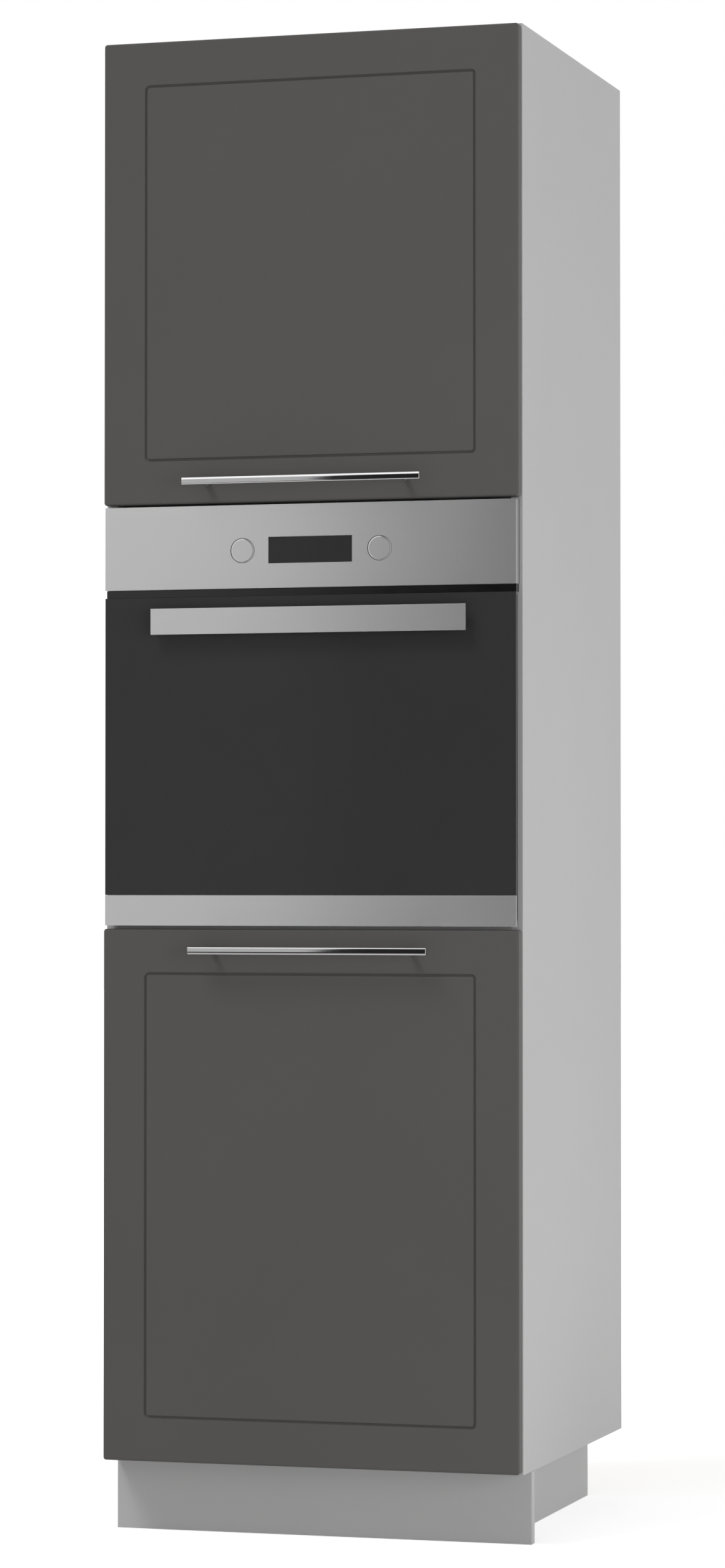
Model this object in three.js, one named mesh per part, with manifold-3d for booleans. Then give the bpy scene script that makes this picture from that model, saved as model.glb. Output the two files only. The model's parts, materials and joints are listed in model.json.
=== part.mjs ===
// Tall oven housing unit: a floor-standing kitchen cabinet with a cupboard above and below a built-in oven.
// Millimetres, +Z up. The unit faces -Y, stands on z = 0 and is centred on the origin in X and Y.
// The pieces are drawn with y = 0 on the front plane of the carcass; the group at the end centres them.
import * as THREE from "three";
import { mergeVertices } from "three/addons/utils/BufferGeometryUtils.js";
import Module from "manifold-3d";

const wasm = await Module();
wasm.setup();

// ---- Clearances ----
const CLEAR = 0.3; // between two pieces that touch on the real unit
const PLAY = 1; // on each side of a loose shelf

// ---- Carcass ----
const WIDTH = 600;
const DEPTH = 570;
const PLINTH_HEIGHT = 100;
const CARCASS_HEIGHT = 1978;
const BOARD = 16;
const BACK_BOARD = 3;
const BACK_INSET = 7; // back boards sit this far in from the rear edge
const OVEN_SHELF_TOP = 842;
const NICHE_HEIGHT = 588;
const SHELF_SETBACK = 25; // loose shelves start this far behind the front plane
const SHELF_SHARE = 0.5; // a loose shelf stands at this share of its cupboard's height

// ---- Shelf supports ----
const PIN_RADIUS = 2.5;
const PIN_IN_BOARD = 8;
const PIN_OUT = 10;
const PIN_HOLE_DEPTH = 9;
const PIN_HOLE_PITCH = 32;
const PIN_HOLES_EACH_WAY = 1; // spare holes above and below the one in use
const PIN_FRONT = 70;
const PIN_REAR_INSET = 90; // rear pins to the rear edge of the side panel

// ---- Legs and plinth ----
const LEG_RADIUS = 15;
const LEG_FOOT_RADIUS = 26;
const LEG_FOOT_HEIGHT = 12;
const LEG_FLANGE_RADIUS = 30;
const LEG_FLANGE_HEIGHT = 4;
const LEG_NUT_RADIUS = 19;
const LEG_NUT_HEIGHT = 10;
const LEG_REAR_INSET = 70;
const LEG_GAP_TO_PLINTH = 8;
const PLINTH_SETBACK = 46;
const PLINTH_SIDE_INSET = 50;
const PLINTH_REAR_INSET = 5;

// ---- Cupboard doors ----
const DOOR_THICKNESS = 16;
const DOOR_GAP = 2; // between the carcass front and the back of a door
const DOOR_REVEAL = 1; // door edge to carcass side
const DOOR_END_REVEAL = 2; // door edge to carcass top and bottom
const DOOR_CORNER = 4;
const DOOR_EDGE_ROUND = 3;
const UPPER_DOOR_HEIGHT = PLINTH_HEIGHT + CARCASS_HEIGHT - DOOR_END_REVEAL - OVEN_SHELF_TOP - NICHE_HEIGHT;
const LOWER_DOOR_HEIGHT = OVEN_SHELF_TOP - PLINTH_HEIGHT - 2 * DOOR_END_REVEAL;
const GROOVE_INSET = 60;
const GROOVE_WIDTH = 4;
const GROOVE_DEPTH = 1.6;
const GROOVE_CORNER = 7;

// ---- Bar handles of the cupboard doors ----
const HANDLE_LENGTH = 342;
const HANDLE_HEIGHT = 10;
const HANDLE_THICKNESS = 8;
const HANDLE_EDGE = 2.5; // flat part of the bar's top and bottom, next to its back
const HANDLE_STANDOFF = 22;
const HANDLE_POST_RADIUS = 4.5;
const HANDLE_POST_SPACING = 286;
const HANDLE_FROM_EDGE = 29.5; // bar centre to the nearer door edge
const UPPER_HANDLE_OFFSET = -4;
const LOWER_HANDLE_OFFSET = 5;

// ---- Concealed hinges ----
const HINGE_FROM_END = 100; // hinge centre to the end of its door
const HINGE_AXIS_IN = 5.6; // pivot to the hung edge of the door
const HINGE_AXIS_DEEP = 10; // pivot below the back face of the door
const CUP_RADIUS = 17.5;
const CUP_WALL = 0.5;
const CUP_DEPTH = 13;
const CUP_EDGE = 2.6; // cup to the hung edge of the door
const WING_LENGTH = 52;
const WING_THICKNESS = 1;
const HINGE_PIN_RADIUS = 0.8;
const EYE_RADIUS = 1.9;
const HOOK_THICKNESS = 2.2;
const HOOK_HEIGHT = 6;
const NECK_FROM_AXIS = 11.5;
const ARM_WIDTH = 11;
const ARM_HEIGHT = 14;
const ARM_START = 6;
const ARM_END = 68;
const ARM_PLATE = 2;
const ARM_PLATE_HEIGHT = 48;
const ARM_PLATE_START = 24;
const ARM_PLATE_END = 50;

// ---- Oven front ----
const OVEN_SIDE_REVEAL = 4; // side of the oven front to the side of the carcass
const OVEN_LIFT = 2.7; // bottom of the oven front above the shelf under it
const OVEN_TOP_REVEAL = 3.5; // top of the oven front below the top of its niche
const OVEN_PROUD = 20; // front of the oven ahead of the carcass
const TRIM_HEIGHT = 42.3;
const VENT_HEIGHT = 11;
const PANEL_HEIGHT = 115.5;
const OVEN_WIDTH = WIDTH - 2 * OVEN_SIDE_REVEAL;
const OVEN_BOTTOM = OVEN_SHELF_TOP + OVEN_LIFT;
const GLASS_HEIGHT = NICHE_HEIGHT - OVEN_LIFT - OVEN_TOP_REVEAL - TRIM_HEIGHT - VENT_HEIGHT - PANEL_HEIGHT;
const PANEL_SHEET = 1.5;
const VENT_RECESS = 5;
const VENT_OVERLAP = 6; // how far the vent strip reaches up behind the panel

// ---- Oven controls ----
const DISPLAY_WIDTH = 120;
const DISPLAY_HEIGHT = 36;
const DISPLAY_THICKNESS = 3;
const DISPLAY_CORNER = 2;
const DISPLAY_MID = 3; // middle of the display, right of the centre line
const CONTROL_RISE = 52.3; // control centre line above the panel's lower edge
const KNOB_RADIUS = 17;
const KNOB_LENGTH = 14;
const KNOB_CLEAR = 0.4;
const KNOB_SPACING = 197.5;
const KNOB_MID = 3.8; // middle of the two knobs, right of the centre line
const KNOB_BEVEL = 0.4;
const CARRIER_THICKNESS = 2;
const CARRIER_PIN_RADIUS = 4;
const CARRIER_PIN_LENGTH = 9;
const KNOB_SLEEVE_WALL = 1.6;

// ---- Oven door ----
const GLASS_THICKNESS = 4;
const DOOR_INNER_GAP = 0.5; // inner face of the oven door to the carcass front plane
const FRAME_SIDE_INSET = 3;
const FRAME_BAR = 75;
const INNER_GLASS = 4;
const WINDOW_LEDGE = 8; // how far the inner glass laps the frame
const OVEN_HANDLE_LENGTH = 453;
const OVEN_HANDLE_MID = 2.4; // middle of the handle, right of the centre line
const OVEN_HANDLE_HEIGHT = 36;
const OVEN_HANDLE_THICKNESS = 5;
const OVEN_HANDLE_STANDOFF = 10;
const OVEN_HANDLE_FROM_TOP = 34; // handle centre line below the top of the glass
const OVEN_HANDLE_POST_WIDTH = 16;
const OVEN_HANDLE_POST_HEIGHT = 22;
const OVEN_HANDLE_POST_INSET = 14;
const OVEN_PIVOT_RISE = 10.3; // pivot above the bottom edge of the oven door
const OVEN_PIVOT_BEHIND = 9; // pivot behind the front of the oven door
const FRAME_TOE = 3; // how far the frame's bottom edge reaches behind the pivot
const OVEN_PIVOT_RADIUS = 1.8;
const OVEN_HINGE_FROM_SIDE = 34;
const OVEN_HINGE_PLATE = 3;
const OVEN_HINGE_BASE = 14;
const OVEN_HINGE_BASE_RISE = 44;
const OVEN_HINGE_EYE = 4;
const NOTCH_CLEAR = 2;

// ---- Oven body ----
const CASING_SHEET = 1.5;
const CASING_SIDE_GAP = 6; // casing to each side panel
const CASING_TOP_GAP = 8; // casing to the board above it
const CASING_SHORT = 30; // how much shallower the casing is than the carcass
const CAVITY_RISE = 62; // cavity floor above the casing floor
const CAVITY_SIDE_SPACE = 53; // cavity to the side of the casing
const CAVITY_TOP_INSET = 24.2; // top of the cavity below the top of the door
const FAN_SPACE = 130; // how much shallower the cavity is than the casing
const CASING_WIDTH = WIDTH - 2 * (BOARD + CASING_SIDE_GAP);
const CASING_DEPTH = DEPTH - CASING_SHORT;
const CAVITY_WIDTH = CASING_WIDTH - 2 * CAVITY_SIDE_SPACE;
const CAVITY_DEPTH = CASING_DEPTH - FAN_SPACE;
const CAVITY_CORNER = 18;
const FLANGE_BEHIND = 6; // front flange behind the carcass front plane
const FLANGE_BELOW = 26; // flange below the cavity floor
const SEAL_WIDTH = 8;
const SEAL_FROM_MOUTH = 5;
const LEDGE_COUNT = 5;
const LEDGE_DEPTH = 10;
const LEDGE_HEIGHT = 3;
const LEDGE_FIRST = 55;
const LEDGE_PITCH = 62;
const RACK_LEVEL = 1;
const RACK_FRAME_RADIUS = 3;
const RACK_WIRE_RADIUS = 1.6;
const RACK_WIRES = 13;
const RACK_SHORT = 50; // how much shallower a rack is than the cavity
const FAN_COVER_RADIUS = 105;
const FAN_COVER_DEPTH = 14;
const FAN_SLOTS = 16;
const FAN_SLOT_WIDTH = 5;

const FINE_STEPS = 64; // sides of a round piece that shows on the front
const ROUND_STEPS = 32; // sides of a large round piece
const SMALL_STEPS = 16; // sides of a small round piece
const CORNER_STEPS = 5; // steps in a rounded corner

// ---- Places worked out from the sizes above ----
const halfWidth = WIDTH / 2;
const innerHalf = halfWidth - BOARD;
const carcassTop = PLINTH_HEIGHT + CARCASS_HEIGHT;
const nicheTop = OVEN_SHELF_TOP + NICHE_HEIGHT;
const doorBack = -DOOR_GAP;
const doorFront = doorBack - DOOR_THICKNESS;
const doorHalf = halfWidth - DOOR_REVEAL;
const handleBack = doorFront - HANDLE_STANDOFF;
const handleFront = handleBack - HANDLE_THICKNESS;
const lowerDoor = { bottom: PLINTH_HEIGHT + DOOR_END_REVEAL };
lowerDoor.top = lowerDoor.bottom + LOWER_DOOR_HEIGHT;
const upperDoor = { top: carcassTop - DOOR_END_REVEAL };
upperDoor.bottom = upperDoor.top - UPPER_DOOR_HEIGHT;
const hingeAxis = { x: -doorHalf + HINGE_AXIS_IN, y: doorBack - HINGE_AXIS_DEEP };
const cupX = -doorHalf + CUP_EDGE + CUP_RADIUS;
const backBoardFront = DEPTH - BACK_INSET - BACK_BOARD;
const pinRear = DEPTH - PIN_REAR_INSET;

const ovenFront = -OVEN_PROUD;
const ovenHalf = OVEN_WIDTH / 2;
const trimTop = OVEN_BOTTOM + TRIM_HEIGHT;
const glassTop = trimTop + GLASS_HEIGHT;
const panelBottom = glassTop + VENT_HEIGHT;
const panelTop = panelBottom + PANEL_HEIGHT;
const controlZ = panelBottom + CONTROL_RISE;
const frameFront = ovenFront + GLASS_THICKNESS + CLEAR;
const frameHalf = ovenHalf - FRAME_SIDE_INSET;
const ovenPivot = { y: ovenFront + OVEN_PIVOT_BEHIND, z: OVEN_BOTTOM + OVEN_PIVOT_RISE };
const flangeFront = FLANGE_BEHIND;
const flangeBack = flangeFront + CASING_SHEET;
const casingFront = flangeBack + CLEAR;
const casingBottom = OVEN_SHELF_TOP + CLEAR;
const casingTop = nicheTop - CASING_TOP_GAP;
const cavityFloor = casingBottom + CASING_SHEET + CAVITY_RISE;
const cavityTop = glassTop - CAVITY_TOP_INSET;

// ---- Materials ----
const finish = (color, roughness, metalness) => new THREE.MeshStandardMaterial({ color, roughness, metalness });
const carcassBoard = finish(0xb8b8b8, 0.6, 0);
const backBoardFinish = finish(0xd8d8d6, 0.7, 0);
const doorFinish = finish(0x545350, 0.55, 0);
const plinthFinish = finish(0xa0a0a0, 0.5, 0);
const steel = finish(0xb4b4b4, 0.35, 1);
const chrome = finish(0xdcdcdc, 0.08, 1);
const blackGlass = finish(0x262626, 0.08, 0);
const blackPlastic = finish(0x1c1c1c, 0.5, 0);
const zincSteel = finish(0xa8abad, 0.4, 1);
const enamel = finish(0x2c2e31, 0.3, 0.2);
const legPlastic = finish(0x202020, 0.6, 0);
const rubberSeal = finish(0x303030, 0.8, 0);

// ---- Making and joining shapes ----
const MERGE_DISTANCE = 1e-4;

/** A closed geometry as a solid that can be joined and cut. */
function solidOf(geometry) {
  const bare = geometry.index ? geometry.toNonIndexed() : geometry.clone();
  bare.deleteAttribute("normal");
  bare.deleteAttribute("uv");
  const merged = mergeVertices(bare, MERGE_DISTANCE);
  const vertProperties = new Float32Array(merged.attributes.position.array);
  const triVerts = new Uint32Array(merged.index.array);
  return new wasm.Manifold(new wasm.Mesh({ numProp: 3, vertProperties, triVerts }));
}

function geometryOf(solid) {
  const mesh = solid.getMesh();
  return new THREE.BufferGeometry()
    .setAttribute("position", new THREE.BufferAttribute(mesh.vertProperties, 3))
    .setIndex(new THREE.BufferAttribute(mesh.triVerts, 1));
}

const join = (...shapes) => geometryOf(shapes.map(solidOf).reduce((sum, next) => sum.add(next)));

const cut = (shape, ...tools) =>
  geometryOf(tools.map(solidOf).reduce((left, tool) => left.subtract(tool), solidOf(shape)));

const middleOf = ([low, high]) => (low + high) / 2;
const lengthOf = ([low, high]) => high - low;

/** A block between two values along each axis. */
function block(x, y, z) {
  const box = new THREE.BoxGeometry(lengthOf(x), lengthOf(y), lengthOf(z));
  return box.translate(middleOf(x), middleOf(y), middleOf(z));
}

/** A rectangle in the front view, with rounded corners. */
function frontRect([x0, x1], [z0, z1], corner = 0) {
  const shape = new THREE.Shape();
  if (corner === 0) {
    shape.moveTo(x0, z0).lineTo(x1, z0).lineTo(x1, z1).lineTo(x0, z1).closePath();
    return shape;
  }
  shape.absarc(x1 - corner, z0 + corner, corner, -Math.PI / 2, 0);
  shape.absarc(x1 - corner, z1 - corner, corner, 0, Math.PI / 2);
  shape.absarc(x0 + corner, z1 - corner, corner, Math.PI / 2, Math.PI);
  shape.absarc(x0 + corner, z0 + corner, corner, Math.PI, 1.5 * Math.PI);
  shape.closePath();
  return shape;
}

/** A plate drawn in the front view, from y = back forwards to y = front, with its edges rounded by bevel. */
function plate(shape, back, front, bevel = 0, curveSegments = CORNER_STEPS) {
  const settings = { depth: back - front - 2 * bevel, steps: 1, curveSegments, bevelEnabled: bevel > 0 };
  if (bevel > 0) {
    Object.assign(settings, { bevelSize: bevel, bevelOffset: -bevel, bevelThickness: bevel, bevelSegments: 3 });
  }
  return new THREE.ExtrudeGeometry(shape, settings).rotateX(Math.PI / 2).translate(0, back - bevel, 0);
}

const rod = (radius, length, steps) => new THREE.CylinderGeometry(radius, radius, length, steps);

/** Round bars along Y, X and Z between two values on that axis. */
const rodY = (radius, y, x, z, steps = ROUND_STEPS) => rod(radius, lengthOf(y), steps).translate(x, middleOf(y), z);
const rodX = (radius, x, y, z, steps = SMALL_STEPS) =>
  rod(radius, lengthOf(x), steps).rotateZ(Math.PI / 2).translate(middleOf(x), y, z);
const rodZ = (radius, z, x, y, steps = SMALL_STEPS) =>
  rod(radius, lengthOf(z), steps).rotateX(Math.PI / 2).translate(x, y, middleOf(z));

/** A piece drawn in the side view, with its shape in (y, z), between two values of x. */
function profileX(shape, [x0, x1]) {
  const settings = { depth: x1 - x0, steps: 1, curveSegments: SMALL_STEPS, bevelEnabled: false };
  const turn = new THREE.Matrix4().makeBasis(
    new THREE.Vector3(0, 1, 0),
    new THREE.Vector3(0, 0, 1),
    new THREE.Vector3(1, 0, 0),
  );
  return new THREE.ExtrudeGeometry(shape, settings).applyMatrix4(turn).translate(x0, 0, 0);
}

/** A turned piece from its outline as [radius, height] pairs, standing on z = 0. */
const turned = (outline, steps = ROUND_STEPS) =>
  new THREE.LatheGeometry(outline.map(([r, h]) => new THREE.Vector2(r, h)), steps).rotateX(Math.PI / 2);

const unit = new THREE.Group();

function add(name, geometry, material) {
  const mesh = new THREE.Mesh(geometry, material);
  mesh.name = name;
  unit.add(mesh);
  return mesh;
}

const sides = [
  ["left", -1],
  ["right", 1],
];
const span = (a, b) => [Math.min(a, b), Math.max(a, b)];
const around = (middle, half) => [middle - half, middle + half];

// ---- Carcass boards ----
const cupboards = {
  upper: { floor: nicheTop + BOARD, ceiling: carcassTop - BOARD },
  lower: { floor: PLINTH_HEIGHT + BOARD, ceiling: OVEN_SHELF_TOP - BOARD },
};
for (const cupboard of Object.values(cupboards)) {
  cupboard.shelfBottom = cupboard.floor + SHELF_SHARE * (cupboard.ceiling - cupboard.floor) - BOARD / 2;
  cupboard.pinZ = cupboard.shelfBottom - CLEAR - PIN_RADIUS;
}

function addSidePanels() {
  for (const [side, sign] of sides) {
    const board = block(
      span(sign * innerHalf, sign * halfWidth),
      [0, DEPTH],
      [PLINTH_HEIGHT, carcassTop],
    );
    const holes = [];
    for (const { pinZ } of Object.values(cupboards)) {
      for (const y of [PIN_FRONT, pinRear]) {
        for (let step = -PIN_HOLES_EACH_WAY; step <= PIN_HOLES_EACH_WAY; step += 1) {
          const reach = span(sign * (innerHalf - PLAY), sign * (innerHalf + PIN_HOLE_DEPTH));
          holes.push(rodX(PIN_RADIUS + CLEAR, reach, y, pinZ + step * PIN_HOLE_PITCH));
        }
      }
    }
    add("side_panel_" + side, cut(board, ...holes), carcassBoard);
  }
}

function addFixedBoards() {
  const across = [-innerHalf + CLEAR, innerHalf - CLEAR];
  const boards = {
    top_panel: carcassTop - BOARD,
    oven_top_shelf: nicheTop,
    oven_shelf: OVEN_SHELF_TOP - BOARD,
    bottom_panel: PLINTH_HEIGHT,
  };
  for (const [name, z] of Object.entries(boards)) {
    const rear = name === "oven_shelf" || name === "oven_top_shelf" ? backBoardFront - CLEAR : DEPTH;
    add(name, block(across, [0, rear], [z, z + BOARD]), carcassBoard);
  }
}

function addBackBoards() {
  const depth = [backBoardFront, backBoardFront + BACK_BOARD];
  const across = [-innerHalf + CLEAR, innerHalf - CLEAR];
  const heights = {
    upper: [nicheTop, carcassTop - BOARD - CLEAR],
    lower: [PLINTH_HEIGHT + BOARD + CLEAR, OVEN_SHELF_TOP],
  };
  for (const [place, height] of Object.entries(heights)) {
    add("back_board_" + place, block(across, depth, height), backBoardFinish);
  }
}

function addLooseShelves() {
  const shelfHalf = innerHalf - PLAY;
  for (const [place, { shelfBottom, pinZ }] of Object.entries(cupboards)) {
    const across = [-shelfHalf, shelfHalf];
    const depth = [SHELF_SETBACK, backBoardFront - PLAY];
    add(place + "_shelf", block(across, depth, [shelfBottom, shelfBottom + BOARD]), carcassBoard);
    for (const [side, sign] of sides) {
      const reach = span(sign * (innerHalf - PIN_OUT), sign * (innerHalf + PIN_IN_BOARD));
      add(place + "_shelf_pin_front_" + side, rodX(PIN_RADIUS, reach, PIN_FRONT, pinZ), zincSteel);
      add(place + "_shelf_pin_rear_" + side, rodX(PIN_RADIUS, reach, pinRear, pinZ), zincSteel);
    }
  }
}

// ---- Legs and plinth ----
const plinthBack = PLINTH_SETBACK + BOARD;
const plinthSideOuter = halfWidth - PLINTH_SIDE_INSET;
const plinthTop = PLINTH_HEIGHT - CLEAR;

function addLegs() {
  const legX = plinthSideOuter - BOARD - LEG_GAP_TO_PLINTH - LEG_FLANGE_RADIUS;
  const legRows = {
    front: plinthBack + LEG_GAP_TO_PLINTH + LEG_FLANGE_RADIUS,
    rear: DEPTH - LEG_REAR_INSET,
  };
  const flangeBottom = plinthTop - LEG_FLANGE_HEIGHT;
  const outline = [
    [0, 0],
    [LEG_FOOT_RADIUS, 0],
    [LEG_FOOT_RADIUS, LEG_FOOT_HEIGHT / 2],
    [LEG_RADIUS, LEG_FOOT_HEIGHT],
    [LEG_RADIUS, flangeBottom - LEG_NUT_HEIGHT],
    [LEG_NUT_RADIUS, flangeBottom - LEG_NUT_HEIGHT],
    [LEG_NUT_RADIUS, flangeBottom],
    [LEG_FLANGE_RADIUS, flangeBottom],
    [LEG_FLANGE_RADIUS, plinthTop],
    [0, plinthTop],
  ];
  for (const [row, y] of Object.entries(legRows)) {
    for (const [side, sign] of sides) {
      add("leg_" + row + "_" + side, turned(outline), legPlastic).position.set(sign * legX, y, 0);
    }
  }
}

function addPlinth() {
  const front = block([-halfWidth, halfWidth], [PLINTH_SETBACK, plinthBack], [0, plinthTop]);
  add("plinth_front", front, plinthFinish);
  for (const [side, sign] of sides) {
    const across = span(sign * (plinthSideOuter - BOARD), sign * plinthSideOuter);
    const depth = [plinthBack + CLEAR, DEPTH - PLINTH_REAR_INSET];
    add("plinth_" + side, block(across, depth, [0, plinthTop]), plinthFinish);
  }
}

// ---- Cupboard doors with their handles and hinge cups ----
const hingeHeights = ({ bottom, top }) => ({ low: bottom + HINGE_FROM_END, high: top - HINGE_FROM_END });

function cupboardDoor(door) {
  const across = [-doorHalf, doorHalf];
  const outline = frontRect(across, [door.bottom, door.top], DOOR_CORNER);
  const leaf = plate(outline, doorBack, doorFront, DOOR_EDGE_ROUND);
  const grooveRect = (inset, corner) =>
    frontRect([-doorHalf + inset, doorHalf - inset], [door.bottom + inset, door.top - inset], corner);
  const grooveBottom = doorFront + GROOVE_DEPTH;
  const field = plate(
    grooveRect(GROOVE_INSET + GROOVE_WIDTH, GROOVE_CORNER - GROOVE_WIDTH),
    grooveBottom + PLAY,
    doorFront - 2 * PLAY,
  );
  const groove = cut(plate(grooveRect(GROOVE_INSET, GROOVE_CORNER), grooveBottom, doorFront - PLAY), field);
  const cupHoles = Object.values(hingeHeights(door)).map((z) =>
    rodY(CUP_RADIUS + CLEAR, [doorBack - CUP_DEPTH - CLEAR, doorBack + PLAY], cupX, z),
  );
  return cut(leaf, groove, ...cupHoles);
}

/** A bar with a flat back, short flat edges and a curved front. */
function handleBar(middleX, middleZ) {
  const half = HANDLE_HEIGHT / 2;
  const section = new THREE.Shape();
  section.moveTo(handleBack, middleZ - half);
  section.lineTo(handleBack, middleZ + half);
  const bulge = HANDLE_THICKNESS - HANDLE_EDGE;
  section.absellipse(handleBack - HANDLE_EDGE, middleZ, bulge, half, Math.PI / 2, 1.5 * Math.PI);
  section.closePath();
  return profileX(section, around(middleX, HANDLE_LENGTH / 2));
}

function addHandle(place, middleX, middleZ) {
  add(place + "_handle_bar", handleBar(middleX, middleZ), chrome);
  for (const [side, sign] of sides) {
    const x = middleX + (sign * HANDLE_POST_SPACING) / 2;
    const post = rodY(HANDLE_POST_RADIUS, [handleBack + CLEAR, doorFront - CLEAR], x, middleZ, SMALL_STEPS);
    add(place + "_handle_post_" + side, post, chrome);
  }
}

/** A hinge cup with its wing plate and the pin that the arm hooks onto. */
function hingeCup(z) {
  const floorBack = doorBack - CUP_DEPTH;
  const shell = rodY(CUP_RADIUS, [floorBack, doorBack], cupX, z);
  const wing = block(
    [hingeAxis.x - PLAY, cupX + CUP_RADIUS],
    [doorBack + CLEAR, doorBack + CLEAR + WING_THICKNESS],
    around(z, WING_LENGTH / 2),
  );
  const rimDepth = [doorBack - PLAY, doorBack + CLEAR + WING_THICKNESS / 2];
  const rim = rodY(CUP_RADIUS - CUP_WALL / 2, rimDepth, cupX, z);
  const hollow = rodY(CUP_RADIUS - CUP_WALL, [floorBack + CUP_WALL, doorBack + 2 * PLAY], cupX, z);
  const pinFarSide = cupX - hingeAxis.x + HINGE_PIN_RADIUS;
  const chord = Math.sqrt((CUP_RADIUS - CUP_WALL / 2) ** 2 - pinFarSide ** 2);
  const pin = rodZ(HINGE_PIN_RADIUS, around(z, chord), hingeAxis.x, hingeAxis.y, SMALL_STEPS);
  return join(cut(join(shell, wing, rim), hollow), pin);
}

/** A hinge arm: plate on the side panel, arm, neck, and hook with an eye round the cup's pin. */
function hingeArm(z) {
  const neckLeft = hingeAxis.x + NECK_FROM_AXIS;
  const neckRight = neckLeft + HOOK_THICKNESS;
  const panelFace = -innerHalf + CLEAR;
  const hookHeights = around(z, HOOK_HEIGHT / 2);
  const hookDepths = around(hingeAxis.y, HOOK_THICKNESS / 2);
  const wall = block(
    [panelFace, panelFace + ARM_PLATE + CLEAR],
    [ARM_PLATE_START, ARM_PLATE_END],
    around(z, ARM_PLATE_HEIGHT / 2),
  );
  const armLeft = panelFace + ARM_PLATE;
  const arm = block([armLeft, armLeft + ARM_WIDTH], [ARM_START, ARM_END], around(z, ARM_HEIGHT / 2));
  const neck = block([neckLeft, neckRight], [hookDepths[0], ARM_START + HOOK_THICKNESS], hookHeights);
  const hook = block([hingeAxis.x, neckRight], hookDepths, hookHeights);
  const eye = rodZ(EYE_RADIUS, hookHeights, hingeAxis.x, hingeAxis.y);
  const bore = rodZ(HINGE_PIN_RADIUS + CLEAR, around(z, HOOK_HEIGHT), hingeAxis.x, hingeAxis.y);
  return cut(join(wall, arm, neck, hook, eye), bore);
}

function addCupboardDoor(place, door, handleX, handleZ) {
  add(place + "_door", cupboardDoor(door), doorFinish);
  addHandle(place, handleX, handleZ);
  for (const [end, z] of Object.entries(hingeHeights(door))) {
    add(place + "_hinge_cup_" + end, hingeCup(z), zincSteel);
    add(place + "_hinge_arm_" + end, hingeArm(z), zincSteel);
  }
}

// ---- Oven controls ----
const knobs = sides.map(([side, sign]) => ({ side, x: KNOB_MID + (sign * KNOB_SPACING) / 2 }));
const knobBack = ovenFront + KNOB_LENGTH;
const panelBack = -CLEAR;

function addControlPanel() {
  const across = [-ovenHalf, ovenHalf];
  const heights = [panelBottom, panelTop];
  const shell = block(across, [ovenFront, panelBack], heights);
  const inside = block(
    [-ovenHalf + PANEL_SHEET, ovenHalf - PANEL_SHEET],
    [ovenFront + PANEL_SHEET, panelBack + PLAY],
    [panelBottom + PANEL_SHEET, panelTop - PANEL_SHEET],
  );
  const sleeveEnd = knobBack + CARRIER_THICKNESS + 3 * CLEAR;
  const boreRadius = KNOB_RADIUS + KNOB_CLEAR;
  const tube = (radius, depth) => knobs.map(({ x }) => rodY(radius, depth, x, controlZ, FINE_STEPS));
  const sleeves = tube(boreRadius + KNOB_SLEEVE_WALL, [ovenFront + CLEAR, sleeveEnd]);
  const bores = tube(boreRadius, [ovenFront - PLAY, sleeveEnd + PLAY]);
  const window = block(
    around(DISPLAY_MID, DISPLAY_WIDTH / 2 + CLEAR),
    [ovenFront - PLAY, ovenFront + PANEL_SHEET + PLAY],
    around(controlZ, DISPLAY_HEIGHT / 2 + CLEAR),
  );
  add("control_panel", cut(join(cut(shell, inside), ...sleeves), window, ...bores), steel);
}

function addDisplay() {
  const across = around(DISPLAY_MID, DISPLAY_WIDTH / 2);
  const face = frontRect(across, around(controlZ, DISPLAY_HEIGHT / 2), DISPLAY_CORNER);
  add("control_display", plate(face, ovenFront + DISPLAY_THICKNESS, ovenFront), blackGlass);
}

/** A push-in knob and the carrier behind it, which slides in the panel's sleeve. */
function addKnob({ side, x }) {
  const pinFront = knobBack - CARRIER_PIN_LENGTH;
  const body = rodY(KNOB_RADIUS, [ovenFront + KNOB_BEVEL, knobBack], x, controlZ, FINE_STEPS);
  const face = new THREE.CylinderGeometry(KNOB_RADIUS, KNOB_RADIUS - KNOB_BEVEL, KNOB_BEVEL, FINE_STEPS);
  face.translate(x, ovenFront + KNOB_BEVEL / 2, controlZ);
  const socket = rodY(CARRIER_PIN_RADIUS + CLEAR, [pinFront - CLEAR, knobBack + PLAY], x, controlZ);
  add("knob_" + side, cut(join(body, face), socket), steel);

  const disc = rodY(KNOB_RADIUS, [knobBack + CLEAR, knobBack + CLEAR + CARRIER_THICKNESS], x, controlZ);
  const pin = rodY(CARRIER_PIN_RADIUS, [pinFront, knobBack + 2 * CLEAR], x, controlZ);
  add("knob_carrier_" + side, join(disc, pin), blackPlastic);
}

// ---- Oven door ----
const hingeMiddles = sides.map(([side, sign]) => ({ side, x: sign * (ovenHalf - OVEN_HINGE_FROM_SIDE) }));

function addOvenDoorFace() {
  const across = [-ovenHalf, ovenHalf];
  const depth = [ovenFront, ovenFront + GLASS_THICKNESS];
  add("oven_door_glass", block(across, depth, [trimTop + CLEAR / 2, glassTop]), blackGlass);
  add("oven_door_trim", block(across, depth, [OVEN_BOTTOM, trimTop - CLEAR / 2]), steel);
}

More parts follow.
